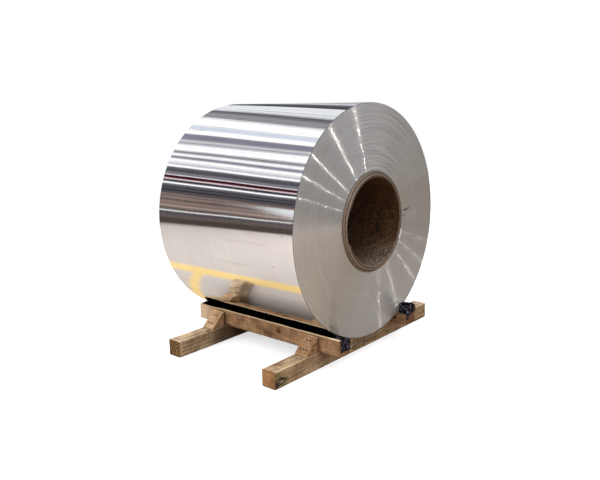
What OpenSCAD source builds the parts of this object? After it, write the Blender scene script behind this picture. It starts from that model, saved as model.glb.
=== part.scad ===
// Aluminium sheet coil on a timber skid.
// The coil's axis runs along X, and z = 0 is the floor that the two bearers stand on.

/* [Coil] */
// Outer diameter of the wound coil
coil_d = 1320; // [1200:10:1400]
// Width of the rolled sheet, so the length of the coil
coil_w = 1050; // [900:10:1150]
// How far the innermost turns stand out past the outermost ones
coil_telescope = 18; // [0:1:30]
// Bands of turns that show as steps on each end
turn_bands = 24; // [8:1:36]
// Greatest shift of one band of turns against the next
turn_shift = 1.2; // [0.4:0.1:2.5]

/* [Core] */
// Inner diameter of the cardboard core
core_d = 500; // [400:5:520]
// Wall of the core
core_wall = 30; // [15:1:35]
// How much longer the core is than the sheet is wide
core_extra = 30; // [20:1:50]
// How far the core stands out of the innermost turns, on the +X end
core_out = 8; // [0:1:20]
// Chamfer on the core's inner edges
core_chamfer = 4; // [1:0.5:8]
// Radial clearance between the core and the innermost turn
core_fit = 0.3; // [0.2:0.05:0.6]

/* [Bearers] */
// Height of a bearer
bearer_h = 95; // [75:1:120]
// Width of a bearer
bearer_w = 95; // [90:1:120]
// Length of a bearer
bearer_l = 1464; // [1200:2:1600]
// Distance of the front bearer from the rails' front ends
front_bearer_inset = 137.5; // [60:0.5:250]
// Distance of the back bearer from the rails' back ends
back_bearer_inset = 145.5; // [60:0.5:250]
// Sideways place of the front bearer's middle
front_bearer_y = 4; // [-15:1:15]
// Sideways place of the back bearer's middle
back_bearer_y = -14; // [-25:1:15]
// Chamfer on the long edges of the bearers and rails
arris = 2; // [0.5:0.5:5]

/* [Rails] */
// Height of a rail
rail_h = 95; // [80:1:120]
// Width of a rail
rail_w = 95; // [75:1:120]
// How far the rails reach past the coil's outer turns at the front end
rail_front_out = 57; // [40:1:90]
// How far the rails reach past the coil's outer turns at the back end
rail_back_out = 7; // [0:1:60]
// Clear distance between the two rails
rail_span = 564; // [480:2:640]
// Width of the bevel that the coil bears on, seen from above
bevel_w = 40; // [25:1:60]

/* [Chocks] */
// Width of a chock, along the rail
chock_w = 89; // [60:1:90]
// Length of a chock's foot, along the bearer
chock_foot = 97; // [80:1:120]
// Height of a chock
chock_h = 88; // [75:1:94]
// Blunt edge at the toe and at the top of a chock
chock_nose = 4; // [2:0.5:8]
// Gap between a front chock and its rail
front_chock_gap = 3; // [0:0.5:8]
// Gap between a back chock and its rail
back_chock_gap = 14; // [0:0.5:18]

/* [Nails] */
// Diameter of a nail's shank
nail_d = 4.2; // [3:0.1:5]
// Diameter of a nail's head
nail_head_d = 9.5; // [7:0.5:12]
// Thickness of a nail's head
nail_head_t = 1.6; // [1:0.1:2.5]
// Length of a nail's shank
nail_l = 75; // [60:1:80]
// Radial clearance of a shank in its hole
nail_fit = 0.15; // [0.05:0.05:0.3]

/* [Film] */
// Thickness of the folded black film on the rails
film_t = 3; // [2:0.5:6]
// How far the film reaches past the bevel onto the rail's top
film_lap = 38; // [5:1:48]
// Drop of the left film over the rail's front end
left_film_drop = 74; // [30:1:85]
// Drop of the right film at its lowest corner
right_film_drop = 70; // [40:1:85]
// Drop of the right film over the rail's end, at its outer side
right_film_out_drop = 24; // [10:1:40]
// Drop of the right film over the rail's inner face, below the bevel
right_film_side = 6; // [3:1:20]
// Height of the bunched film on the right rail, at its inner side
right_film_bunch = 38; // [15:1:50]
// Clearance of the film from the timber and of the coil from the film
film_gap = 0.3; // [0.2:0.05:0.5]

/* [Hidden] */
$fn = 96;

left = -1;
right = 1;
coil_r = coil_d / 2;
core_r = core_d / 2 + core_wall;
bore_r = core_r + core_fit;

// x = 0 is the middle of the rails, and the coil lies between their two overhangs
rail_l = coil_w + rail_front_out + rail_back_out;
coil_x = (rail_back_out - rail_front_out) / 2;
front_bearer_x = rail_l / 2 - front_bearer_inset - bearer_w / 2;
back_bearer_x = -rail_l / 2 + back_bearer_inset + bearer_w / 2;

// Rails: y of the inner and outer faces, z of the top
rail_in = rail_span / 2;
rail_out = rail_in + rail_w;
rail_top = bearer_h + rail_h;

// The coil bears on the middle of the bevel, which lies square to the coil's radius there
seat_y = rail_in + bevel_w / 2;
seat_r = coil_r + film_t + 2 * film_gap;
bevel_angle = asin(seat_y / seat_r);
bevel_drop = bevel_w * tan(bevel_angle);
axis_z = rail_top - bevel_drop / 2 + seat_r * cos(bevel_angle);

// Turns: each band is a stretch of the one sheet, so it keeps its width and only shifts along X
band_t = (coil_r - bore_r) / turn_bands;
golden_angle = 137.508;
telescope_power = 1.5;
function band_shift(i) = coil_telescope * pow((i + 0.5) / turn_bands, telescope_power)
    + turn_shift * sin(golden_angle * i);
turn_end = [for (i = [0:turn_bands - 1], edge = [0, 1])
    [coil_r - (i + edge) * band_t, coil_w / 2 + band_shift(i)]];
turn_end_count = len(turn_end);

core_l = coil_w + core_extra;
core_end_x = coil_x + coil_w / 2 + coil_telescope + core_out;
core_x = core_end_x - core_l / 2;

// Nails on a chock's slope: [share of the slope from the toe, sideways place from its middle]
nail_row_low = 0.3;
nail_row_high = 0.74;
nail_spread = chock_w / 4;
nail_places = [[nail_row_low, -nail_spread], [nail_row_low, 0], [nail_row_low, nail_spread],
    [nail_row_high, -nail_spread / 2], [nail_row_high, nail_spread / 2]];
slope_angle = atan2(chock_h - chock_nose, chock_foot - chock_nose);

// Right film's outline: places across the rail as shares of its width, heights as shares of the film's own
bunch_crest = 0.25;
bunch_fall = 0.4;
flap_knee_place = 0.4;
flap_knee_drop = 0.75;
flap_tip_place = 0.1;

// How far a cutter reaches past what it cuts
cut = 1;

// Cross-section of a timber with its long edges taken off
module timber_outline(w, h) {
    polygon([[-w / 2 + arris, 0], [w / 2 - arris, 0], [w / 2, arris], [w / 2, h - arris],
        [w / 2 - arris, h], [-w / 2 + arris, h], [-w / 2, h - arris], [-w / 2, arris]]);
}

// Lays an outline drawn in (y, z) along X
module along_x(length) {
    rotate([90, 0, 90]) translate([0, 0, -length / 2]) linear_extrude(height = length) children();
}

// Puts children on the left or the right side, drawn for the right
module on_side(side) {
    if (side == left) mirror([0, 1, 0]) children();
    else children();
}

// Chock's own frame: the rail's side at y = 0, the bearer's top at z = 0, its toe towards +Y
module at_chock(x, gap, side) {
    on_side(side) translate([x, rail_out + gap, bearer_h]) children();
}

// Puts children at each nail, with +Z out of the slope and z = 0 on it
module at_nails() {
    for (place = nail_places)
        translate([place[1], chock_foot - place[0] * (chock_foot - chock_nose),
            chock_nose + place[0] * (chock_h - chock_nose)])
            rotate([-slope_angle, 0, 0]) children();
}

module nail() {
    cylinder(d = nail_head_d, h = nail_head_t);
    translate([0, 0, -nail_l]) cylinder(d = nail_d, h = nail_l);
}

module nail_hole() {
    hole_r = nail_d / 2 + nail_fit;
    translate([0, 0, -nail_l - nail_fit]) cylinder(r = hole_r, h = nail_l + nail_fit + nail_head_t);
}

// The sheet wound on its core, as one turned solid
module coil() {
    profile = concat(turn_end, [for (i = [turn_end_count - 1:-1:0])
        [turn_end[i][0], turn_end[i][1] - coil_w]]);
    color([0.78, 0.78, 0.78])
        translate([coil_x, 0, axis_z]) rotate([0, 90, 0]) rotate_extrude() polygon(profile);
}

module core_tube() {
    r = core_d / 2;
    half = core_l / 2;
    color([0.45, 0.37, 0.30])
        translate([core_x, 0, axis_z]) rotate([0, 90, 0]) rotate_extrude()
            polygon([[core_r, -half], [core_r, half], [r + core_chamfer, half],
                [r, half - core_chamfer], [r, core_chamfer - half], [r + core_chamfer, -half]]);
}

// A bearer across the skid, with the nail holes of its two chocks
module bearer(x, y, gap) {
    color([0.72, 0.55, 0.38]) difference() {
        translate([x, y, 0]) rotate([0, 0, 90]) along_x(bearer_l) timber_outline(bearer_w, bearer_h);
        for (side = [left, right]) at_chock(x, gap, side) at_nails() nail_hole();
    }
}

module front_bearer() {
    bearer(front_bearer_x, front_bearer_y, front_chock_gap);
}

module back_bearer() {
    bearer(back_bearer_x, back_bearer_y, back_chock_gap);
}

// A rail with the bevel that cradles the coil, and the nail holes of its two chocks
module rail(side) {
    color([0.74, 0.57, 0.40]) difference() {
        on_side(side) translate([0, rail_in + rail_w / 2, bearer_h]) along_x(rail_l)
            timber_outline(rail_w, rail_h);
        on_side(side) along_x(rail_l + 2 * cut) polygon([[rail_in - cut, rail_top + cut],
            [rail_in - cut, rail_top - bevel_drop - cut * tan(bevel_angle)],
            [rail_in + bevel_w + cut / tan(bevel_angle), rail_top + cut]]);
        at_chock(front_bearer_x, front_chock_gap, side) at_nails() nail_hole();
        at_chock(back_bearer_x, back_chock_gap, side) at_nails() nail_hole();
    }
}

module left_rail() {
    rail(left);
}

module right_rail() {
    rail(right);
}

// A three-cornered block nailed to its bearer and its rail
module chock(x, gap, side) {
    color([0.80, 0.63, 0.44]) at_chock(x, gap, side) difference() {
        along_x(chock_w) polygon([[0, 0], [chock_foot, 0], [chock_foot, chock_nose],
            [chock_nose, chock_h], [0, chock_h]]);
        at_nails() nail_hole();
    }
}

module front_left_chock() {
    chock(front_bearer_x, front_chock_gap, left);
}

module back_left_chock() {
    chock(back_bearer_x, back_chock_gap, left);
}

module front_right_chock() {
    chock(front_bearer_x, front_chock_gap, right);
}

module back_right_chock() {
    chock(back_bearer_x, back_chock_gap, right);
}

module chock_nails(x, gap, side) {
    color([0.35, 0.32, 0.30]) at_chock(x, gap, side) at_nails() nail();
}

module front_left_nails() {
    chock_nails(front_bearer_x, front_chock_gap, left);
}

module back_left_nails() {
    chock_nails(back_bearer_x, back_chock_gap, left);
}

module front_right_nails() {
    chock_nails(front_bearer_x, front_chock_gap, right);
}

module back_right_nails() {
    chock_nails(back_bearer_x, back_chock_gap, right);
}

// Points of a line over the bevel and the rail's top, lifted square to them by d
function over_rail(d) = [
    [rail_in - d * sin(bevel_angle), rail_top - bevel_drop + d * cos(bevel_angle)],
    [rail_in + bevel_w - d * tan(bevel_angle / 2), rail_top + d]];

// The film's band over the bevel and part of the rail's top
module film_band_outline() {
    low = over_rail(film_gap);
    high = over_rail(film_gap + film_t);
    lap_y = rail_in + bevel_w + film_lap;
    polygon([low[0], high[0], high[1], [lap_y, high[1][1]], [lap_y, low[1][1]], low[1]]);
}

module film_band(side) {
    on_side(side) along_x(rail_l + 2 * film_gap) film_band_outline();
}

// Puts an outline drawn in (y, z) against the rails' front ends
module on_rail_end(side) {
    on_side(side) translate([rail_l / 2 + film_gap + film_t / 2, 0, 0]) along_x(film_t) children();
}

module left_film() {
    high = over_rail(film_gap + film_t);
    color([0.05, 0.05, 0.06]) {
        film_band(left);
        on_rail_end(left) polygon([high[0], high[1], [rail_out, high[1][1]],
            [rail_out, rail_top - left_film_drop], [rail_in, rail_top - left_film_drop]]);
    }
}

// The bunched end lies on the rail in front of the coil and hangs over its inner face and end
module right_film() {
    high = over_rail(film_gap + film_t);
    low = over_rail(film_gap);
    side_y = rail_in - film_gap;
    bunch_top = rail_top + right_film_bunch;
    bunch_reach = norm([side_y - film_t, axis_z - bunch_top]);
    coil_face_x = coil_x + coil_w / 2
        + max([for (i = [0:turn_bands - 1]) if (coil_r - i * band_t > bunch_reach) band_shift(i)]);
    bunch_x0 = coil_face_x + film_gap;
    bunch_x1 = rail_l / 2 + film_gap + film_t;
    side_z = rail_top - bevel_drop - right_film_side;
    bunch_out_z = rail_top + right_film_bunch * bunch_fall;
    color([0.05, 0.05, 0.06]) {
        film_band(right);
        translate([(bunch_x0 + bunch_x1) / 2, 0, 0]) along_x(bunch_x1 - bunch_x0)
            polygon([[side_y, side_z], [side_y - film_t, side_z], [side_y - film_t, bunch_top - film_t],
                [rail_in + rail_w * bunch_crest, bunch_top], [rail_out, bunch_out_z],
                [rail_out, low[1][1]], low[1], low[0], [side_y, low[0][1]]]);
        on_rail_end(right) polygon([[side_y - film_t, high[1][1]], [rail_out, high[1][1]],
            [rail_out, rail_top - right_film_out_drop],
            [rail_in + rail_w * flap_knee_place, rail_top - right_film_drop * flap_knee_drop],
            [rail_in + rail_w * flap_tip_place, rail_top - right_film_drop], [side_y - film_t, side_z]]);
    }
}

coil();
core_tube();
front_bearer();
back_bearer();
left_rail();
right_rail();
front_left_chock();
back_left_chock();
front_right_chock();
back_right_chock();
front_left_nails();
back_left_nails();
front_right_nails();
back_right_nails();
left_film();
right_film();
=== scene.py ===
import math
from functools import partial

import bmesh
import bpy
import numpy as np
from mathutils import Matrix, Vector


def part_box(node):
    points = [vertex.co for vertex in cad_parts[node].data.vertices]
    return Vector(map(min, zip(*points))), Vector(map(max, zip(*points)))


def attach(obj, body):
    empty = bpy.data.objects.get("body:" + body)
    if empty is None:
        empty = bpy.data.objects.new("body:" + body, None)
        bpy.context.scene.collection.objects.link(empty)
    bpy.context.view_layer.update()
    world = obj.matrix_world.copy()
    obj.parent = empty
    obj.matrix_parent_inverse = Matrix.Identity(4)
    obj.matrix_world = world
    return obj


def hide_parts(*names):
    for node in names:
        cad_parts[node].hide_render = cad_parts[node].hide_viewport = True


# The looks of a bright aluminium sheet coil on a sawn-pine skid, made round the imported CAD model.
# Lengths are in metres. X runs along the coil's axis, +X is its front end, and z = 0 is the floor.
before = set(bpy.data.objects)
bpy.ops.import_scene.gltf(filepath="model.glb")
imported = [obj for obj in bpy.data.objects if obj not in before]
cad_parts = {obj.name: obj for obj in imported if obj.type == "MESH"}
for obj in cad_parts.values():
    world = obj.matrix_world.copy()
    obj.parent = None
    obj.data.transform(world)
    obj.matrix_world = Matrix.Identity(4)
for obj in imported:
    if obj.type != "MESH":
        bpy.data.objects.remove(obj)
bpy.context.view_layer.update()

MM = 0.001
LEFT, RIGHT = -1, 1


def cad_points(node):
    """Every vertex of a CAD node, as rows of x, y, z."""
    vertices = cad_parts[node].data.vertices
    points = np.zeros(len(vertices) * 3)
    vertices.foreach_get("co", points)
    return points.reshape(-1, 3)


# Measures of the coil and its core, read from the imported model
coil_low, coil_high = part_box("coil")
AXIS_Z = (coil_low.z + coil_high.z) / 2
COIL_R = (coil_high.z - coil_low.z) / 2
coil_points = cad_points("coil")
coil_radius = np.hypot(coil_points[:, 1], coil_points[:, 2] - AXIS_Z)
rim_x = coil_points[coil_radius > COIL_R - 1 * MM, 0]
RIM_BACK_X, RIM_FRONT_X = rim_x.min(), rim_x.max()
BORE_R = coil_radius.min()
TELESCOPE = coil_high.x - RIM_FRONT_X

core_low, core_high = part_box("core_tube")
core_points = cad_points("core_tube")
CORE_R = (core_high.z - core_low.z) / 2
CORE_BORE_R = np.hypot(core_points[:, 1], core_points[:, 2] - AXIS_Z).min()


# ---------------- shapes

def ripple(u, v, seed, length):
    """A smooth random field of about -1 to 1: the sum of sine waves of like length in random
    directions."""
    draw = np.random.default_rng(seed)
    waves = 14
    turn = draw.uniform(0, math.tau, waves)
    count = math.tau / (length * draw.uniform(0.7, 1.5, waves))
    start = draw.uniform(0, math.tau, waves)
    field = sum(np.sin(k * (u * math.cos(a) + v * math.sin(a)) + s) for k, a, s in zip(count, turn, start))
    return field / math.sqrt(waves)


def creases(u, v, seed, length):
    """A folded random field of 0 to 1: a ridge wherever a smooth random field passes through zero."""
    return 1 - np.clip(np.abs(ripple(u, v, seed, length)), 0, 1)


def smooth_step(value, low, high):
    """0 below low, 1 above high, and an even S-curve between."""
    t = np.clip((value - low) / (high - low), 0, 1)
    return t * t * (3 - 2 * t)


def grid_piece(name, points, wrap_rows=False, wrap_columns=True, caps=False, sharp=30):
    """A mesh on a grid of points, with faces between neighbours. A cap closes an end row to its middle, a
    closed shell's faces are turned outwards, and edges sharper than the angle stay sharp."""
    rows, columns = points.shape[:2]
    i, j = np.indices((rows - (not wrap_rows), columns - (not wrap_columns)))
    next_i, next_j = (i + 1) % rows, (j + 1) % columns
    corners = [i * columns + j, i * columns + next_j, next_i * columns + next_j, next_i * columns + j]
    faces = np.stack(corners, -1).reshape(-1, 4).tolist()
    vertices = points.reshape(-1, 3)
    if caps:
        middle = len(vertices)
        ring = np.arange(columns)
        following = (ring + 1) % columns
        last = (rows - 1) * columns
        faces += np.stack([following, ring, np.full(columns, middle)], -1).tolist()
        faces += np.stack([last + ring, last + following, np.full(columns, middle + 1)], -1).tolist()
        vertices = np.concatenate([vertices, [points[0].mean(0), points[-1].mean(0)]])
    mesh = bpy.data.meshes.new(name)
    mesh.from_pydata(vertices.tolist(), [], faces)
    if caps or (wrap_rows and wrap_columns):
        work = bmesh.new()
        work.from_mesh(mesh)
        bmesh.ops.recalc_face_normals(work, faces=work.faces)
        work.to_mesh(mesh)
        work.free()
    mesh.shade_smooth()
    mesh.set_sharp_from_angle(angle=math.radians(sharp))
    piece = bpy.data.objects.new(name, mesh)
    bpy.context.scene.collection.objects.link(piece)
    return piece


def turned(radius, x, count):
    """Rings about the coil's axis: row k has radius[k] and x[k], which may vary with the angle."""
    angle = np.linspace(0, math.tau, count, endpoint=False)
    radius = np.broadcast_to(np.asarray(radius, float).reshape(len(radius), -1), (len(radius), count))
    x = np.broadcast_to(np.asarray(x, float).reshape(len(x), -1), (len(x), count))
    return np.stack([x, radius * np.cos(angle), AXIS_Z + radius * np.sin(angle)], -1)


def dress(piece, slot_name, materials, *replaced):
    """Gives a piece its materials and the CAD nodes that it stands for, and lets it ride. slot_name is not
    used.
    """
    for material in materials:
        piece.data.materials.append(material)
    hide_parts(*replaced)
    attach(piece, "root")


# ---------------- shader nodes

def linear(code):
    """A hex sRGB colour as linear RGBA."""
    srgb = [int(code[k:k + 2], 16) / 255 for k in (1, 3, 5)]
    return [c / 12.92 if c <= 0.04045 else ((c + 0.055) / 1.055) ** 2.4 for c in srgb] + [1.0]


def add_node(tree, kind, links=(), stops=(), **settings):
    """Adds a shader node. settings are its properties. links are its sockets' values, or the nodes or
    outputs that lead to them, in the sockets' order or by their names. stops are a ramp's places and hex
    colours."""
    made = tree.nodes.new("ShaderNode" + kind)
    for name, value in settings.items():
        setattr(made, name, value)
    for socket, value in links.items() if isinstance(links, dict) else enumerate(links):
        if isinstance(value, bpy.types.Node):
            value = value.outputs[0]
        if isinstance(value, bpy.types.NodeSocket):
            tree.links.new(value, made.inputs[socket])
        elif isinstance(value, str):
            made.inputs[socket].default_value = linear(value)
        else:
            made.inputs[socket].default_value = value
    for k, (place, code) in enumerate(stops):
        element = made.color_ramp.elements[k] if k < 2 else made.color_ramp.elements.new(place)
        element.position, element.color = place, linear(code)
    return made


def new_material(name):
    """A node material, the function that adds nodes to it, and a point's place on its object."""
    made = bpy.data.materials.new(name)
    made.use_nodes = True
    made.node_tree.nodes.clear()
    add = partial(add_node, made.node_tree)
    return made, add, add("TexCoord").outputs["Object"]


def drawn_out(add, place, scale, detail, roughness=0.5):
    """Random noise, finer along some axes than along others: scale is its grains to a metre along
    each."""
    stretched = add("Mapping", {"Vector": place, "Scale": scale})
    return add("TexNoise", {"Vector": stretched, "Scale": 1.0, "Detail": detail, "Roughness": roughness})


def tinted(add, share, colour, noise, stops):
    """The colour, multiplied by a share of the tint that the stops give to the noise."""
    tint = add("ValToRGB", [noise], stops=stops)
    return add("MixRGB", [share, colour, tint], blend_type="MULTIPLY")


# ---------------- coil

def radial_nodes(add, place):
    """The direction away from the coil's axis, and the distance from it."""
    centred = add("Mapping", {"Vector": place, "Location": (0, 0, -AXIS_Z)})
    flat = add("VectorMath", [centred, (0, 1, 1)], operation="MULTIPLY")
    away = add("VectorMath", [flat], operation="NORMALIZE")
    distance = add("VectorMath", [flat], operation="LENGTH").outputs["Value"]
    return away, distance


def rolled_aluminium():
    """Mill-finish aluminium sheet, cold rolled and bright. The rolls leave fine lines round the coil, so
    what it mirrors stays sharp round it and is drawn out along it."""
    material, add, place = new_material("rolled_aluminium")
    # Roll lines of a few hundredths of a millimetre, drawn 1 to 9 mm apart along the axis to show
    lines = drawn_out(add, place, (110, 0.7, 0.7), 4.0, 0.62)
    haze = add("TexNoise", {"Vector": place, "Scale": 3.0, "Detail": 3.0})
    both = add("Math", [lines, haze], operation="MULTIPLY")
    rough = add("MapRange", [both, 0.1, 0.45, 0.05, 0.085])
    tone = add("ValToRGB", [both], stops=[(0.12, "#EDEDEF"), (0.4, "#F8F8F9")])
    # Faint level smears of rolling oil, and a few scuffs
    oil = drawn_out(add, place, (2.2, 26, 26), 3.0, 0.6)
    tone = tinted(add, 1.0, tone, oil, [(0.60, "#FFFFFF"), (0.78, "#E4E2E0")])
    tone = marked(add, place, tone, SCUFFS, "#8C8684")
    lift = add("Bump", {"Height": lines, "Strength": 0.10, "Distance": 0.2 * MM})
    along = add("CombineXYZ", {"X": 1.0})
    shader = add("BsdfPrincipled", {"Base Color": tone, "Metallic": 1.0, "Roughness": rough,
        "Anisotropic": 0.95, "Tangent": along, "Normal": lift})
    add("OutputMaterial", [shader])
    return material


def marked(add, place, colour, marks, dark):
    """The colour with small dark marks on it. Each mark is the place of its middle, and its reach."""
    for middle, reach in marks:
        apart = add("VectorMath", [place, middle], operation="DISTANCE").outputs["Value"]
        near = add("MapRange", [apart, reach, reach / 2])
        colour = add("MixRGB", [near, colour, dark])
    return colour


# Low on the wrap, and beside the core: a row of five nicks and two below it
SCUFFS = [((0.345, -0.642, 0.617), 5 * MM), ((0.33, -0.632, 0.575), 4 * MM), ((0.43, -0.66, 0.790), 5 * MM)]
NICKS = [((0.515, 0.320, 0.794), 8 * MM), ((0.515, 0.322, 0.757), 9 * MM)]
NICKS += [((0.515, 0.333 + 0.012 * k, 0.790 + 0.002 * k), 8 * MM) for k in range(5)]


def turn_edges():
    """Slit edges of several hundred turns of sheet: satin grey. Each edge is rounded and stands a little
    askew, so a lamp shows in them as a thin ray out from the middle. The sheet is under 1 mm thick. Edges
    lean by turns of 0.3 mm, but rings of tone are drawn 3 mm apart, and bands of turns 4 to 12 mm apart,
    to show."""
    material, add, place = new_material("turn_edges")
    away, distance = radial_nodes(add, place)
    # Rings, which fade in and out round the face, and are drawn strongest towards the upper right: a
    # painted shade on that side
    ringed = add("Math", [distance, RINGS], operation="MULTIPLY")
    ring_place = add("CombineXYZ", {"X": ringed})
    drift = add("VectorMath", [place, (1.6, 1.6, 1.6)], operation="MULTIPLY")
    ring_vector = add("VectorMath", [ring_place, drift], operation="ADD")
    rings = add("TexNoise", {"Vector": ring_vector, "Scale": 1.0, "Detail": 4.0, "Roughness": 0.7})
    zone = add("TexNoise", {"Vector": place, "Scale": 2.4, "Detail": 2.0})
    patches = add("MapRange", [zone, 0.40, 0.62, 0.15, 1.0])
    upper_right_shade = add("VectorMath", [away, (0, 0.6, 0.8)], operation="DOT_PRODUCT").outputs["Value"]
    upper_right_shade = add("MapRange", [upper_right_shade, -0.3, 0.8, 0.35])
    patches = add("Math", [patches, upper_right_shade], operation="MULTIPLY")
    tone = add("ValToRGB", [rings], stops=[(0.34, "#8A8786"), (0.60, "#FFFFFF")])
    tone = add("MixRGB", [patches, "#FFFFFF", tone])
    cloud = add("ValToRGB", [zone], stops=[(0.3, END_DIM), (0.7, END_BRIGHT)])
    colour = add("MixRGB", [RING_DEPTH, cloud, tone], blend_type="MULTIPLY")
    # A darker outermost turn, a painted dark line along the rim, and a few nicks beside the core
    rim_line = add("MapRange", [distance, COIL_R - 6 * MM, COIL_R - 1 * MM, 0.0, 0.7])
    colour = add("MixRGB", [rim_line, colour, "#77747A"])
    colour = marked(add, place, colour, NICKS, "#1C1918")
    # Tilt of each edge, in or out from the middle, and a slight sway to either side
    leaning = add("Math", [distance, EDGES], operation="MULTIPLY")
    lean = add("TexNoise", {"W": leaning, "Scale": 1.0, "Detail": 0.0}, noise_dimensions="1D")
    lean = add("MapRange", [lean, 0.15, 0.85, LEAN[0], LEAN[1]])
    sway_at = add("CombineXYZ", {"X": add("Math", [distance, SWAYS], operation="MULTIPLY")})
    sway_at = add("VectorMath", [sway_at, drift], operation="ADD")
    sway = add("TexNoise", {"Vector": sway_at, "Scale": 1.0, "Detail": 2.0})
    sway = add("MapRange", {"Value": sway, "To Min": -SWAY, "To Max": SWAY})
    face = add("NewGeometry").outputs["Normal"]
    round_way = add("VectorMath", [away, (1, 0, 0)], operation="CROSS_PRODUCT")
    outwards = add("VectorMath", {0: away, "Scale": lean}, operation="SCALE")
    sideways = add("VectorMath", {0: round_way, "Scale": sway}, operation="SCALE")
    tilted = add("VectorMath", [outwards, sideways], operation="ADD")
    tilted = add("VectorMath", [tilted, face], operation="ADD")
    tilted = add("VectorMath", [tilted], operation="NORMALIZE")
    # The side of an edge that leans inwards carries the burr, and is rougher
    rough = add("MapRange", [lean, -0.4, -0.7, 0.14, 0.23])
    shader = add("BsdfPrincipled", {"Base Color": colour, "Metallic": 1.0, "Roughness": rough,
        "Anisotropic": 1.0, "Tangent": away, "Normal": tilted})
    add("OutputMaterial", [shader])
    return material


END_DIM, END_BRIGHT = "#C2C2C0", "#D2D2D0"
RINGS, EDGES, SWAYS = 300.0, 3500.0, 220.0     # how many to a metre, outwards
RING_DEPTH = 0.7         # how far the rings darken the face
LEAN = -1.25, 1.42       # tangents of the most that a sheet's edge leans in and out
SWAY = 0.014             # tangent of the most that it leans to either side


def end_face(out_from_rim, seed, bands):
    """The rings of one end of the coil, from the rim in to the bore: bands of turns of uneven width,
    which stand further out towards the bore by the power 1.5. Each is also shifted a little along the
    axis by chance, and by a sine wave of one to three turns round it. The innermost band lies back and
    leaves a gap."""
    draw = np.random.default_rng(seed)
    width = draw.uniform(0.5, 1.6, bands)
    edge = COIL_R - np.concatenate([[0], np.cumsum(width)]) / width.sum() * (COIL_R - BORE_R)
    middle = (edge[:-1] + edge[1:]) / 2
    inwards = (COIL_R - middle) / (COIL_R - BORE_R)
    angle = np.linspace(0, math.tau, AROUND, endpoint=False)
    waves = draw.integers(1, 4, (bands, 1))
    sway = np.sin(angle * waves + draw.uniform(0, math.tau, (bands, 1)))
    shift = out_from_rim * inwards ** 1.5 + draw.normal(0, BAND_SHIFT, bands)
    shift = shift[:, None] + BAND_SWAY * sway
    shift[-1] -= CORE_GAP_DEPTH
    edge[-2] = BORE_R + CORE_GAP
    radius = np.repeat(edge, 2)[1:-1]
    return radius, np.repeat(shift, 2, axis=0)


AROUND = 384             # faces round the coil
CORE_GAP = 5 * MM        # the innermost turns lie a little loose, which leaves a dark line round the core
CORE_GAP_DEPTH = 9 * MM
RIM_BEVEL = 1.2 * MM
WRAP_INSET = 0.3 * MM    # keeps the wrap's ripples within the coil's radius
WRAP_RIPPLE = 0.14 * MM
BAND_SHIFT, BAND_SWAY = 0.15 * MM, 0.08 * MM
SHEET_END = math.radians(30), math.radians(16)   # the innermost turn is bent out between these, below level
SHEET_END_OUT = [[14 * MM], [3 * MM]]            # and stands out by this much at its outer and inner edge


def sheet_end():
    """The end of the innermost turn, bent out: drawn white and nearly matt, a painted highlight, and too
    uneven to mirror anything.
    """
    material, add, place = new_material("sheet_end_painted_bright")
    rub = add("TexNoise", {"Vector": place, "Scale": 90.0, "Detail": 2.0})
    rough = add("MapRange", {"Value": rub, "To Min": 0.45, "To Max": 0.7})
    shader = add("BsdfPrincipled", {"Base Color": "#FFFFFF", "Metallic": 0.1, "Roughness": rough})
    add("OutputMaterial", [shader])
    return material


def coil():
    """One turned shell: the wrap from back to front, the front end in to the bore, through the bore, and
    the back end out again. The wrap's radius ripples by a fraction of a millimetre, as sheet under
    tension does."""
    wrap_rows = 28
    along = np.linspace(RIM_BACK_X + RIM_BEVEL, RIM_FRONT_X - RIM_BEVEL, wrap_rows)
    angle = np.linspace(0, math.tau, AROUND, endpoint=False)
    x, turn = np.meshgrid(along, angle, indexing="ij")
    low_wave = ripple(x, np.sin(turn) * COIL_R, 3, 0.45) + ripple(x, np.cos(turn) * COIL_R, 4, 0.6)
    wrap_radius = COIL_R - WRAP_INSET + WRAP_RIPPLE * low_wave
    front_r, front_shift = end_face(TELESCOPE, seed=11, bands=48)
    back_r, back_shift = end_face(-TELESCOPE, seed=12, bands=30)
    front_x = RIM_FRONT_X + front_shift
    back_x = RIM_BACK_X - back_shift
    # Part of the innermost turn stands out, most at its outer edge
    bent = (angle > math.tau - SHEET_END[0]) & (angle < math.tau - SHEET_END[1])
    front_x[-2:, bent] = RIM_FRONT_X + TELESCOPE + np.array(SHEET_END_OUT)
    front_r[0] = back_r[0] = COIL_R - RIM_BEVEL
    rows_r = np.concatenate([wrap_radius, np.repeat(front_r[:, None], AROUND, 1),
        np.repeat(back_r[::-1, None], AROUND, 1)])
    rows_x = np.concatenate([x, front_x, back_x[::-1]])
    points = turned(rows_r, rows_x, AROUND)
    piece = grid_piece("coil_of_sheet", points, wrap_rows=True, sharp=20)
    rows = len(points)
    face_row = np.arange(rows * AROUND) // AROUND
    is_wrap = face_row < wrap_rows - 1
    is_bent = (face_row == wrap_rows + len(front_r) - 2) & np.tile(bent & np.roll(bent, -1), rows)
    which = np.where(is_wrap, 0, np.where(is_bent, 2, 1))
    piece.data.polygons.foreach_set("material_index", which.astype(np.int32))
    piece.data.polygons.foreach_set("use_smooth", is_wrap)
    piece.data.update()
    return piece


# ---------------- core

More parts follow.
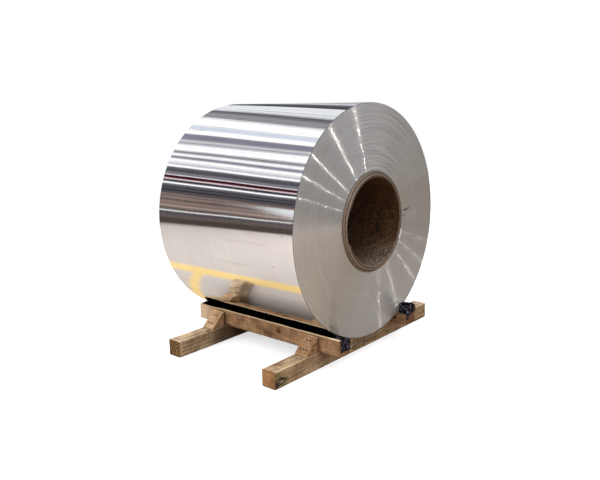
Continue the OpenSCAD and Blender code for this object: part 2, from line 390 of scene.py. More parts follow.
def cardboard():
    """Spiral-wound kraft cardboard, pressed smooth: dull brown and speckled, with the edges of its plies
    as rings on its ends. Plies of 1 mm are drawn about 8 mm wide to show."""
    material, add, place = new_material("spiral_wound_cardboard")
    away, distance = radial_nodes(add, place)
    plies = add("Math", [distance, 1 / PLY_WIDTH], operation="MULTIPLY")
    ply_noise = add("TexNoise", {"W": plies, "Scale": 1.0, "Detail": 2.0}, noise_dimensions="1D")
    fibre = add("TexNoise", {"Vector": place, "Scale": 90.0, "Detail": 5.0, "Roughness": 0.75})
    patch = add("TexNoise", {"Vector": place, "Scale": 14.0, "Detail": 3.0})
    ends = add("ValToRGB", [ply_noise], stops=[(0.36, "#564740"), (0.60, "#A8947F")])
    inner = add("ValToRGB", [patch], stops=[(0.3, "#623C16"), (0.7, "#7C562C")])
    is_end = add("MapRange", [distance, CORE_BORE_R + 1 * MM, CORE_BORE_R + 3 * MM])
    # Painted light on the bottom of the bore, over the 0.24 m nearest its mouth, where light falls in:
    # drawn paler
    parts = add("SeparateXYZ", [place])
    near_mouth = add("MapRange", [parts.outputs["X"], core_high.x - 0.24, core_high.x - 0.02])
    low = add("MapRange", [parts.outputs["Z"], AXIS_Z - 0.12, AXIS_Z - 0.24, 0.0, 0.9])
    mouth_light = add("Math", [near_mouth, low], operation="MULTIPLY")
    inner = add("MixRGB", [mouth_light, inner, "#A08C7A"])
    # The ends are drawn darker towards the upper right
    leaning = add("VectorMath", [away, (0, 0.8, 0.6)], operation="DOT_PRODUCT").outputs["Value"]
    ends_darkened = add("MapRange", [leaning, -0.3, 1.0, 0.0, 0.55])
    ends = add("MixRGB", [ends_darkened, ends, "#3E2E22"])
    colour = add("MixRGB", [is_end, inner, ends])
    speckled = add("MapRange", {"Value": is_end, "To Min": 1.0, "To Max": 0.35})
    colour = tinted(add, speckled, colour, fibre, [(0.40, "#2A1E16"), (0.60, "#FFFFFF")])
    lift = add("Bump", {"Height": fibre, "Strength": 0.5, "Distance": 0.6 * MM})
    shader = add("BsdfPrincipled", {"Base Color": colour, "Roughness": 0.82, "Normal": lift})
    add("OutputMaterial", [shader])
    return material


PLY_WIDTH = 1 / 130      # as drawn
SEAM_PITCH = 0.19
PLIES_OUT = 8.5 * MM     # how far the innermost plies stand out at the front
PLIES_ASKEW = 4.5 * MM   # and how much further they do at the left
TEAR_SUNK = 4 * MM       # how much less they do where they are torn
TEAR_WIDTH = 13 * MM     # of the tear, out from the bore
# Where the tear in the plies begins, is full, is full no more, and ends
TORN_PLIES = [math.radians(a) for a in (150, 172, 199, 202)]


def core():
    """A turned tube: its bore steps by 0.7 mm along the helix of the ply seam, and both ends have low
    rings where plies stand unevenly. At the front the plies stand further out towards the bore, most at
    the left, but for a short stretch where the inner ones are torn."""
    around, bore_rows = 256, 130
    turn = np.linspace(0, math.tau, around, endpoint=False)
    front, back = core_high.x, core_low.x
    chamfer = 3 * MM
    torn = smooth_step(turn, *TORN_PLIES[:2]) * (1 - smooth_step(turn, *TORN_PLIES[2:]))
    proud = PLIES_OUT - PLIES_ASKEW * np.cos(turn) - TEAR_SUNK * torn
    x = np.repeat(np.linspace(back + chamfer, front - chamfer, bore_rows)[:, None], around, 1)
    x[-1] += proud
    helix = (turn / math.tau + x / SEAM_PITCH) % 1.0
    bore = CORE_BORE_R + 0.7 * MM * smooth_step(helix, 0.0, 0.06) + 0.2 * MM * ripple(x, turn, 5, 0.1)
    bore[-1] += TEAR_WIDTH * torn
    steps = np.array([0.05, 0.17, 0.31, 0.49, 0.66, 0.84, 0.96])[:, None]    # from the bore to the outside
    ring_r = CORE_BORE_R + chamfer + (CORE_R - CORE_BORE_R - chamfer) * steps
    patches = 0.5 * MM * ripple(ring_r * 3, np.sin(turn)[None, :] * CORE_R, 6, 0.08)
    uneven = np.random.default_rng(7).normal(0, 0.35 * MM, (len(steps), 1))
    end = np.abs(patches + uneven)
    ring_r = np.maximum(ring_r, bore[-1] + chamfer * steps)
    front_end = front - end + proud * (1 - steps)
    outside = np.full((2, around), CORE_R)
    outside_x = np.repeat([[front - 1 * MM], [back + 1 * MM]], around, 1)
    rows_r = np.concatenate([bore, ring_r, outside, ring_r[::-1]])
    rows_x = np.concatenate([x, front_end, outside_x, back + end[::-1]])
    return grid_piece("core_of_cardboard", turned(rows_r, rows_x, around), wrap_rows=True, sharp=35)


# ---------------- timber

def pine(name, grain, pith, knots, seed, board, late="#B08A60", end_tone="#D8B890", end_rings="#9A7350",
         ring_gap=8 * MM, bark_end=None, pale_end=None, shaded_span=None, top_tone=None):
    """Sawn pine, air dried and handled: growth rings about the pith line, fibres along the grain, faint
    saw marks across it, grey-brown stains and dark end grain. Upper edges are drawn pale, a painted
    highlight, and lower and end ones dark, a painted shade. Rings of 3 mm are drawn ring_gap apart to
    show. Knots are places along, to the side and up. bark_end is a stretch of the timber in which mould
    grows, pale_end one drawn paler, a painted light, and damp one drawn darker, a painted shade.
    top_tone is what its upper faces are drawn towards, a painted light."""
    material, add, place = new_material(name)
    parts = add("SeparateXYZ", [place])
    along = parts.outputs["XYZ"[grain]]
    side = parts.outputs["Y" if grain == 0 else "X"]
    local = add("CombineXYZ", {"X": side, "Y": parts.outputs["Z"], "Z": along})
    local = add("Mapping", {"Vector": local, "Location": (-pith[0], -pith[1], seed)})
    # Rings: distance from the pith, bent by slow noise and pushed aside by knots
    bend = drawn_out(add, local, (9, 9, 1.6), 2.0)
    flat = add("VectorMath", [local, (1, 1, 0)], operation="MULTIPLY")
    radius = add("VectorMath", [flat], operation="LENGTH").outputs["Value"]
    radius = add("Math", [bend, 0.045, radius], operation="MULTIPLY_ADD")
    knot_dark = 0.0
    for knot_along, knot_side, knot_up in knots:
        knot_at = (knot_side - pith[0], knot_up - pith[1], knot_along + seed)
        apart = add("VectorMath", [local, knot_at], operation="SUBTRACT")
        apart = add("VectorMath", [apart, (70, 70, 45)], operation="MULTIPLY")
        apart = add("VectorMath", [apart], operation="LENGTH").outputs["Value"]
        near = add("MapRange", [apart, 2.2, 0.0], interpolation_type="SMOOTHSTEP")
        radius = add("Math", [near, 0.020, radius], operation="MULTIPLY_ADD")
        core_of_knot = add("MapRange", [apart, 1.0, 0.7])
        knot_dark = add("Math", [knot_dark, core_of_knot], operation="MAXIMUM")
    ring = add("Math", [radius, 1 / ring_gap], operation="MULTIPLY")
    ring = add("Math", [ring], operation="FRACT")
    late_wood = add("ValToRGB", [ring], stops=[(0.0, "#404040"), (0.12, "#000000"), (0.62, "#303030"),
        (0.88, "#FFFFFF"), (1.0, "#404040")])
    # Fibres 1 to 3 mm wide and some centimetres long
    fibre = drawn_out(add, local, (420, 420, 14), 4.0, 0.65)
    # Saw marks 4 to 10 mm apart, square to the grain
    saw = drawn_out(add, local, (6, 6, 170), 2.0)
    stain = add("TexNoise", {"Vector": local, "Scale": 11.0, "Detail": 4.0, "Roughness": 0.6})
    normal = add("SeparateXYZ", [add("NewGeometry").outputs["Normal"]])
    end_grain = add("Math", [normal.outputs["XYZ"[grain]]], operation="ABSOLUTE")
    end_grain = add("MapRange", [end_grain, 0.7, 0.95])
    ring_tone = add("MixRGB", [end_grain, late, end_rings])
    wide_rings = add("ValToRGB", [ring], stops=[(0.35, "#000000"), (0.60, "#FFFFFF"), (0.95, "#FFFFFF"),
        (1.0, "#000000")])
    late_wood = add("MixRGB", [end_grain, late_wood, wide_rings])
    colour = add("MixRGB", [late_wood, board, ring_tone])
    colour = tinted(add, 0.75, colour, fibre, [(0.30, "#80705F"), (0.52, "#FFFFFF")])
    colour = tinted(add, 0.5, colour, saw, [(0.35, "#C4B8AE"), (0.6, "#FFFFFF")])
    colour = tinted(add, 0.8, colour, stain, [(0.3, "#84705F"), (0.62, "#FFFFFF")])
    # Painted light: the pale_end stretch, out from under the coil, is drawn paler
    if pale_end is not None:
        end_light = add("MapRange", [along, pale_end[0], pale_end[1], 0.0, 0.75])
        colour = add("MixRGB", [end_light, colour, "#F3DDBB"])
    # Painted shade: the damp stretch, under the coil, is drawn darker
    if shaded_span is not None:
        span_shade = add("MapRange", [along, shaded_span[0], shaded_span[1], 0.0, 0.8])
        colour = add("MixRGB", [span_shade, colour, "#543C22"])
    # Painted highlight and shade: upper edges are drawn pale, lower and end ones dark, in patches
    edge = add("Attribute", attribute_name="edge", attribute_type="GEOMETRY").outputs["Fac"]
    upwards = add("MapRange", [normal.outputs["Z"], 0.3, 0.8])
    patchy = add("MapRange", [stain, 0.3, 0.6, 0.3, 1.0])
    patches = add("Math", [edge, patchy], operation="MULTIPLY")
    # Painted light: upper faces are drawn towards top_tone
    if top_tone is not None:
        top_light = add("Math", [upwards, 0.85], operation="MULTIPLY")
        colour = add("MixRGB", [top_light, colour, top_tone])
    pale = add("Math", [patches, upwards], operation="MULTIPLY")
    colour = add("MixRGB", [pale, colour, "#EBD0A6"])
    edge_shade = add("Math", [patches, pale], operation="SUBTRACT")
    edge_shade = add("Math", [edge_shade, 0.6], operation="MULTIPLY")
    colour = add("MixRGB", [edge_shade, colour, "#4A3220"])
    # Dirt and resin in short flecks along the grain
    fleck = drawn_out(add, local, (190, 190, 60), 3.0, 0.7)
    fleck = add("MapRange", [fleck, 0.60, 0.68, 0.0, 0.75])
    colour = add("MixRGB", [fleck, colour, "#4A3322"])
    colour = add("MixRGB", [end_grain, colour, end_tone], blend_type="MULTIPLY")
    if knots:
        colour = add("MixRGB", [knot_dark, colour, "#5B3A22"])
    if bark_end is not None:
        bark = drawn_out(add, local, (75, 75, 20), 5.0, 0.7)
        zone = add("MapRange", [along, bark_end[1], bark_end[0], 0.0, 0.3])
        low_down = add("MapRange", [parts.outputs["Z"], 0.09, 0.05, -0.12, 0.0])
        bark = add("Math", [bark, zone], operation="ADD")
        bark = add("Math", [bark, low_down], operation="ADD")
        on_side = add("Math", [normal.outputs["XYZ"[1 - grain]]], operation="ABSOLUTE")
        on_side = add("MapRange", [on_side, 0.5, 0.8])
        for first, full, code in ((0.60, 0.66, "#8C7A4A"), (0.68, 0.72, "#1E1710")):
            mould = add("MapRange", [bark, first, full])
            mould = add("Math", [mould, on_side], operation="MULTIPLY")
            colour = add("MixRGB", [mould, colour, code])
    height = add("Math", [fibre, saw], operation="ADD")
    lift = add("Bump", {"Height": height, "Strength": 0.6, "Distance": 0.7 * MM})
    shader = add("BsdfPrincipled", {"Base Color": colour, "Roughness": 0.78, "Normal": lift})
    add("OutputMaterial", [shader])
    return material


def end_outline(node, axis):
    """The corners of a convex timber's end, in the two directions across its length, in order round
    it."""
    points = cad_points(node)
    end = points[points[:, axis] > points[:, axis].max() - 0.05 * MM]
    across = np.unique(np.round(np.delete(end, axis, 1), 5), axis=0)
    middle = across.mean(0)
    order = np.argsort(np.arctan2(across[:, 1] - middle[1], across[:, 0] - middle[0]))
    return across[order]


WALK_STEP = 4 * MM       # round a timber's outline
EDGE_REACH = 7 * MM      # how far the painted edge highlight and shade reach from an edge
CHIP_DEPTH = 2.6 * MM
ROW_STEP = 5 * MM        # along a timber
EASED = 0.985            # size of its outline where its end is eased
PRESS = 0.35 * MM        # middling depth to which its faces are pressed in
END_ROUGH = 0.4 * MM


def sawn_timber(node, axis, seed):
    """A timber as rings along its length: the CAD outline walked at even steps, its corners eased, its
    faces pressed in by up to 0.8 mm of random field and its long edges chipped here and there. The
    attribute edge is 1 on its edges, and falls to 0 on its faces."""
    corners = end_outline(node, axis)
    closed = np.concatenate([corners, corners[:1]])
    length = np.concatenate([[0], np.cumsum(np.linalg.norm(np.diff(closed, axis=0), axis=1))])
    count = int(round(length[-1] / WALK_STEP))
    walk = np.linspace(0, length[-1], count, endpoint=False)
    outline = np.stack([np.interp(walk, length, closed[:, k]) for k in (0, 1)], -1)
    eased = (np.roll(outline, 1, 0) + outline * 2 + np.roll(outline, -1, 0)) / 4
    corner_gap = np.abs((walk[:, None] - length[None, :] + length[-1] / 2) % length[-1] - length[-1] / 2)
    edge = np.clip(1 - corner_gap.min(1) / EDGE_REACH, 0, 1)
    lengthways = cad_points(node)[:, axis]
    low, high = lengthways.min(), lengthways.max()
    rows = int(round((high - low) / ROW_STEP))
    station = np.concatenate([[low] * 3, np.linspace(low + 0.8 * MM, high - 0.8 * MM, rows), [high] * 3])
    shrink = np.concatenate([[0.35, 0.7, EASED], np.ones(rows), [EASED, 0.7, 0.35]])
    middle = eased.mean(0)
    walk_grid, station_grid = np.meshgrid(walk, station)
    press = PRESS * (1 + ripple(walk_grid, station_grid, seed, 0.09))
    on_side = (shrink >= EASED)[:, None]
    chipped = smooth_step(ripple(walk_grid, station_grid, seed + 1, 0.035), 1.0, 1.9)
    chips = chipped * CHIP_DEPTH * edge[None, :] * on_side
    inwards = middle - eased
    inwards = inwards / np.linalg.norm(inwards, axis=1, keepdims=True)
    sunk = ((press + chips) * on_side)[..., None]
    ring = middle + (eased - middle)[None] * shrink[:, None, None] + inwards[None] * sunk
    end_rough = END_ROUGH * (1 + ripple(ring[..., 0], ring[..., 1], seed + 2, 0.02))
    inside = np.sign((low + high) / 2 - station) * (shrink < 1)
    along = station[:, None] + inside[:, None] * end_rough
    order = [1, 2] if axis == 0 else [0, 2]
    points = np.empty(ring.shape[:2] + (3,))
    points[..., order[0]], points[..., order[1]], points[..., axis] = ring[..., 0], ring[..., 1], along
    piece = grid_piece("sawn_" + node, points, caps=True, sharp=28)
    at_end = (shrink == EASED)[:, None]
    values = np.concatenate([np.where(at_end, 0.8, edge[None, :] * on_side).ravel(), [0, 0]])
    piece.data.attributes.new("edge", "FLOAT", "POINT").data.foreach_set("value", values)
    return piece


# ---------------- nails and film

def wire_nail():
    """Drawn steel wire nails, gone dark: dull brown-black with rust-brown patches."""
    material, add, place = new_material("darkened_steel_nail")
    rust = add("TexNoise", {"Vector": place, "Scale": 300.0, "Detail": 3.0})
    colour = add("ValToRGB", [rust], stops=[(0.35, "#1E1815"), (0.65, "#4A3122")])
    shader = add("BsdfPrincipled", {"Base Color": colour, "Metallic": 0.6, "Roughness": 0.55})
    add("OutputMaterial", [shader])
    return material


def black_film():
    """Black polythene film, folded and crushed: glossy, so each small crease has a bright edge, but dusty
    and dull where the coil presses on it."""
    material, add, place = new_material("black_polythene_film")
    crease = add("TexVoronoi", {"Vector": place, "Scale": 75.0}, feature="DISTANCE_TO_EDGE")
    dust = add("TexNoise", {"Vector": place, "Scale": 70.0, "Detail": 3.0})
    loose = add("Attribute", attribute_name="loose", attribute_type="GEOMETRY").outputs["Fac"]
    facet = add("TexVoronoi", {"Vector": place, "Scale": 110.0}).outputs["Color"]
    facet = add("MapRange", [add("SeparateXYZ", {"Vector": facet}), 0.60, 0.90])
    gloss = add("Math", [loose, facet], operation="MULTIPLY")
    colour = add("ValToRGB", [dust], stops=[(0.4, "#030304"), (0.75, "#0B0A0C")])
    rough = add("MapRange", {"Value": dust, "To Min": 0.06, "To Max": 0.20})
    lift = add("Bump", {"Height": crease.outputs["Distance"], "Strength": 1.0, "Distance": 10 * MM})
    shader = add("BsdfPrincipled", {"Base Color": colour, "Roughness": rough, "Specular IOR Level": gloss,
        "IOR": 2.2, "Specular Tint": "#CAC6E2", "Normal": lift})
    add("OutputMaterial", [shader])
    return material


FILM_LIFT = 0.7 * MM     # the film's middle stands this far from the timber
FILM_PRESSED = 0.8 * MM  # and this far from the coil, whose gap to the bevel its folded layers fill
FILM_COVER = 0.76
FILM_WIDTH = 0.10        # a round figure, for the size of its creases
FILM_WALL = 1.2 * FILM_LIFT
FOLD_OUT, FOLD_INWARDS = 0.16, 0.45      # how far its loose fold leans, for each metre of loose film
BUNCH_START = 2.5 * MM   # from the coil's rim
RAIL_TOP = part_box("left_rail")[1].z


def film_knots(x, node, cover, bunched):
    """The film's path across the rail at each x: its outer edge, the rail's flat top, the bevel's top,
    the bevel's middle and its inner hem. From the bevel's top inwards it is pressed up to the coil's
    round. Bunched film stands up off the rail's top and hangs over its inner face."""
    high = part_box(node)[1]
    rail = node.replace("film", "rail")
    rail_low, rail_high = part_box(rail)
    rail_in, rail_out = sorted(abs(v) for v in (rail_low.y, rail_high.y))
    points = cad_points(rail)
    on_top = points[points[:, 2] > RAIL_TOP - 0.1 * MM]
    bevel_y = np.abs(on_top[:, 1]).min()
    inner = points[np.abs(np.abs(points[:, 1]) - rail_in) < 0.1 * MM]
    bevel_z = inner[:, 2].max()
    edge = bevel_y + (rail_out - bevel_y) * cover
    flat = np.full_like(x, RAIL_TOP + FILM_LIFT)
    on_bevel = np.repeat([[bevel_y, (bevel_y + rail_in) / 2, rail_in + 1 * MM]], len(x), 0)
    pressed = AXIS_Z - np.sqrt((COIL_R + FILM_PRESSED) ** 2 - on_bevel ** 2)
    band_y = np.column_stack([edge, (edge + bevel_y) / 2, on_bevel])
    band_z = np.column_stack([flat, flat, pressed])
    bunch_y = np.array([rail_out - 2 * MM, rail_out - 6 * MM, rail_in + 0.27 * (rail_out - rail_in),
        rail_in - 2 * MM, rail_in - 2 * MM])
    bunch_z = np.array([RAIL_TOP + FILM_LIFT, RAIL_TOP + 0.4 * (high.z - RAIL_TOP), high.z - 4 * MM,
        high.z - 8 * MM, bevel_z - 6 * MM])
    share = bunched[:, None]
    return band_y * (1 - share) + bunch_y * share, band_z * (1 - share) + bunch_z * share


def film_sheet(side, node, bunch, drops, crush, seed):
    """Film along a rail, as a grid of places along it and across it. Past the rail's front end each line
    across hangs straight down by its own drop, and where the film also hangs over the inner face, the
    corner between makes a loose fold. Two fields of creases push it out square to its surface, by crush
    on the rail and past its end. The attribute loose is 0 under the coil and 1 where the film hangs."""
    across = 72
    start_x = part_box(node)[0].x + 3 * MM
    end_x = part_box(node.replace("film", "rail"))[1].x + FILM_LIFT
    # Rows lie 6 mm apart, and closer near the front end, where the creases are
    x = np.concatenate([np.arange(start_x, end_x - 0.09, 6 * MM), np.linspace(end_x - 0.085, end_x, 34)])
    # The share of the rail's flat top that it covers: all but the edge near the back end
    uneven = 0.05 * ripple(x, 0 * x, seed, 0.3)
    cover = np.clip(FILM_COVER + uneven + 0.2 * smooth_step(-x, 0.34, 0.46), 0.6, 0.95)
    bunched = bunch * smooth_step(x, RIM_FRONT_X + BUNCH_START, RIM_FRONT_X + BUNCH_START + 9 * MM)
    knots_y, knots_z = film_knots(x, node, cover, bunched)
    places = np.array([0.0, 0.17, 0.47, 0.72, 1.0])     # of the path's five points, as shares of its width
    t = np.linspace(0, 1, across)
    share = np.stack([np.interp(t, places, row) for row in np.eye(5)])
    y, z = knots_y @ share, knots_z @ share
    top = np.stack([np.repeat(x[:, None], across, 1), y, z], -1)
    # Past the front end
    down = np.linspace(0, 1, 46)[1:, None]
    drop = np.interp(t, *np.transpose(drops))[None, :]
    drop = drop * (1 + 0.05 * ripple(t, 0 * t, seed + 3, 0.25)[None, :])
    corner = 3 if bunch else 4
    side_part = np.clip((t - places[corner]) / (1 - places[corner] + 1e-9), 0, 1)[None, :] * bunch
    hung = (knots_z[-1, 3] - knots_z[-1, 4]) * side_part
    reach = np.hypot(down * drop, hung)
    turn = np.arctan2(hung, down * drop)
    start_z = np.where(side_part > 0, knots_z[-1, 3], z[-1][None, :])
    loose = np.sin(2 * turn) * reach * (1 - 0.85 * (reach / reach.max()) ** 2)
    flap_y = y[-1][None, :] + FOLD_INWARDS * loose
    flap = np.stack([end_x + FOLD_OUT * loose, flap_y, start_z - reach], -1)
    sheet = np.concatenate([top, flap])
    # Creases
    walk = np.concatenate([x, end_x + down[:, 0] * drop.mean()])[:, None]
    cross = t[None, :] * FILM_WIDTH
    free = crush[0] + (crush[1] - crush[0]) * smooth_step(walk, RIM_FRONT_X, RIM_FRONT_X + 0.02)
    fold = 0.62 * creases(walk, cross, seed + 5, 0.022) + 0.38 * creases(walk, cross, seed + 6, 0.010)
    along, over = np.gradient(sheet, axis=0), np.gradient(sheet, axis=1)
    normal = np.cross(over, along)
    normal /= np.maximum(np.linalg.norm(normal, axis=2, keepdims=True), 1e-9)
    sheet = sheet + normal * (free * fold)[..., None]
    sheet[..., 1] *= side
    if side == LEFT:
        sheet = sheet[:, ::-1]
    piece = grid_piece(node.replace("film", "black_film"), sheet, wrap_columns=False, sharp=60)
    loose = np.broadcast_to(smooth_step(walk, RIM_FRONT_X - 0.02, RIM_FRONT_X + 0.02), sheet.shape[:2])
    piece.data.attributes.new("loose", "FLOAT", "POINT").data.foreach_set("value", loose.ravel().copy())
    wall = piece.modifiers.new("film_thickness", "SOLIDIFY")
    wall.thickness, wall.offset = FILM_WALL, 0
    return piece


# ---------------- studio

def hall_panels(add, angle, low, high, panels):
    """Colours by angle: panels are (degrees, tone), each holding up to the next."""
    stops = [((degrees - low) / (high - low), TONES[tone]) for degrees, tone in panels]
    place = add("MapRange", [angle, math.radians(low), math.radians(high)])
    ramp = add("ValToRGB", [place], stops=stops)
    ramp.color_ramp.interpolation = "CONSTANT"
    return ramp


TONES = {"white": "#FFFFFF", "haze": "#DCDFE2", "sky": "#CCD2E1", "pale": "#C1C0C5", "silver": "#A3A2A8",
    "grey": "#8C8B8F", "mauve": "#7F7E8D", "slate": "#737178", "steel": "#615F66", "dark": "#4C4A50",
    "ink": "#353136", "red": "#3E121C", "rose": "#8D6C78", "blush": "#F4E0E4", "sand": "#9C8A80",
    "tan": "#87746B", "brown": "#756560", "umber": "#5D534F", "shade": "#483F3A"}

# What the wrap mirrors, by the angle from straight up towards -Y: rows of lamps, roof and wall bands
OVERHEAD = [(-120, "silver"), (-105, "pale"), (-94, "steel"), (-86, "dark"), (-78, "ink"), (-75.5, "haze"),
    (-58, "pale"), (-56, "haze"), (-52.5, "pale"), (-50, "silver"), (-48.5, "steel"), (-45, "slate"),
    (-41.5, "grey"), (-31, "silver"), (-29.5, "haze"), (-26, "white"), (-14, "haze"), (-11.5, "sky"),
    (-7, "haze"), (-5, "white"), (0.5, "silver"), (1.5, "mauve"), (8, "grey"), (9.5, "pale"),
    (12.5, "silver"), (14.5, "pale"), (15.5, "haze"), (16.5, "white")]
UPPER_WALL = [(20, "white"), (23.5, "pale"), (25, "grey"), (27, "silver"), (28, "haze"), (29, "white"),
    (31, "pale"), (32, "mauve"), (34, "silver"), (35, "haze"), (35.5, "white"), (38.5, "haze"),
    (40, "pale"), (42, "haze"), (43, "white"), (44.5, "silver"), (45, "slate"), (45.5, "steel"),
    (47, "dark"), (49.5, "steel"), (50.5, "slate"), (53, "silver"), (53.5, "white"), (54, "red"),
    (57, "rose"), (57.5, "blush"), (58.5, "dark"), (59, "ink"), (60.5, "slate"), (61.5, "white")]
LOWER_WALL = [(63, "silver"), (63.5, "slate"), (64.5, "dark"), (66, "ink"), (67, "dark"), (69, "ink"),
    (70.5, "dark"), (72.5, "umber"), (73.5, "brown"), (75.5, "umber"), (76.5, "tan"), (78.5, "umber"),
    (80.5, "brown"), (81, "tan"), (83, "brown"), (84, "tan"), (85, "sand"), (86.5, "brown"),
    (87.5, "umber"), (90, "white"), (91, "umber"), (92, "dark"), (94, "umber"), (98, "shade")]
# Bands fan out along the coil: by how much an angle changes for each unit of slant. The first value holds
# at the foot of the scale, and each step adds its own between two angles. All are in degrees.
HALFWAY = 1.07           # slant of what is mirrored halfway along the coil
FAN_START = -98
FAN_STEPS = [((-95, -65), 28), ((-40, 18), 51), ((36, 72), 16.5), ((75, 105), 27.5)]


def studio_world():
    """White to the camera, plain soft light to matt surfaces, and to glossy ones a hall of level
    bands."""
    world = bpy.data.worlds.new("soft_studio")
    bpy.context.scene.world = world
    world.use_nodes = True
    world.cycles.sampling_method = "NONE"
    world.node_tree.nodes.clear()
    add = partial(add_node, world.node_tree)
    x, y, z = add("SeparateXYZ", [add("TexCoord").outputs["Generated"]]).outputs
    minus_y = add("Math", [y, -1.0], operation="MULTIPLY")
    angle = add("Math", [minus_y, z], operation="ARCTAN2")
    across = add("CombineXYZ", {"X": y, "Y": z})
    across = add("VectorMath", [across], operation="LENGTH").outputs["Value"]
    slant = add("Math", [x, across], operation="DIVIDE")
    slant = add("Math", [slant], operation="ABSOLUTE")
    off_middle = add("Math", [slant, HALFWAY], operation="SUBTRACT")
    seen_at = angle
    for _ in range(2):       # the second round settles the angle
        fan = math.radians(FAN_START)
        for (low, high), change in FAN_STEPS:
            step = add("MapRange", [angle, math.radians(low), math.radians(high), 0.0,
                math.radians(change)])
            fan = add("Math", [fan, step], operation="ADD")
        moved = add("Math", [fan, off_middle], operation="MULTIPLY")
        angle = add("Math", [seen_at, moved], operation="SUBTRACT")
    hall = hall_panels(add, angle, -120, 20, OVERHEAD)
    for low, high, panels in ((20, 63, UPPER_WALL), (63, 105, LOWER_WALL)):
        band = hall_panels(add, angle, low, high, panels)
        beyond = add("Math", [angle, math.radians(low)], operation="GREATER_THAN")
        hall = add("MixRGB", [beyond, hall, band])
    # A lit opening in the wall, which narrows to a point
    narrowing = add("Math", [slant, 0.89], operation="SUBTRACT")
    narrowing = add("Math", [narrowing, math.radians(60), angle], operation="MULTIPLY_ADD")
    above = add("MapRange", [angle, math.radians(75), math.radians(75.7)])
    below = add("MapRange", [narrowing, math.radians(84.5), math.radians(82)])
    opening = add("MapRange", [slant, 1.02, 0.90])
    opening = add("Math", [opening, above], operation="MULTIPLY")
    opening = add("Math", [opening, below], operation="MULTIPLY")
    hall = add("MixRGB", [opening, hall, TONES["haze"]])
    # Small fittings and wires along the bands, as fine random lines
    for each_radian, darkest in ((50.0, "#D2D2D2"), (150.0, "#A2A2A2")):
        fine = add("Math", [angle, each_radian], operation="MULTIPLY")
        lines = add("TexNoise", {"W": fine, "Scale": 1.0, "Detail": 3.0}, noise_dimensions="1D")
        hall = tinted(add, 1.0, hall, lines, [(0.32, darkest), (0.55, "#FFFFFF")])
    # In front of the coil's end there is an even haze, brighter to the right
    to_right = add("Math", [y, x], operation="ARCTAN2")
    front = add("MapRange", [to_right, math.radians(10), math.radians(70)])
    front = add("ValToRGB", [front], stops=[(0.0, FRONT_TONES[0]), (1.0, FRONT_TONES[1])])
    above_floor = add("MapRange", [z, 0.0, 0.28])
    front = add("MixRGB", [above_floor, FLOOR_HAZE, front])
    in_front = add("MapRange", [x, 0.0, 0.25])
    hall = add("MixRGB", [in_front, hall, front])
    path = add("LightPath")
    from_above = add("MapRange", [z, -0.1, 1.0, SOFT_LIGHT[0], SOFT_LIGHT[1]])
    soft = add("Background", ["#F6F6F8", from_above])
    mirrored = add("Background", [hall, HALL_LIGHT])
    white = add("Background", ["#FFFFFF", 1.0])
    sharp = add("Math", [path.outputs["Is Glossy Ray"], path.outputs["Is Transmission Ray"]],
        operation="MAXIMUM")
    lit = add("MixShader", [sharp, soft, mirrored])
    seen = add("MixShader", [path.outputs["Is Camera Ray"], lit, white])
    add("OutputWorld", [seen])


SOFT_LIGHT = 0.17, 2.2   # level with the coil, and straight above
HALL_LIGHT = 1.62
FRONT_TONES = "#B0AFB3", "#CCCCD3"      # straight ahead, and to the right
FLOOR_HAZE = "#93918F"   # low over the floor's far end
WALL_X = -3.65           # the floor ends here, and beyond it the metal mirrors the foot of a wall
FLOOR_FAR = 14.0         # how far it reaches the other ways


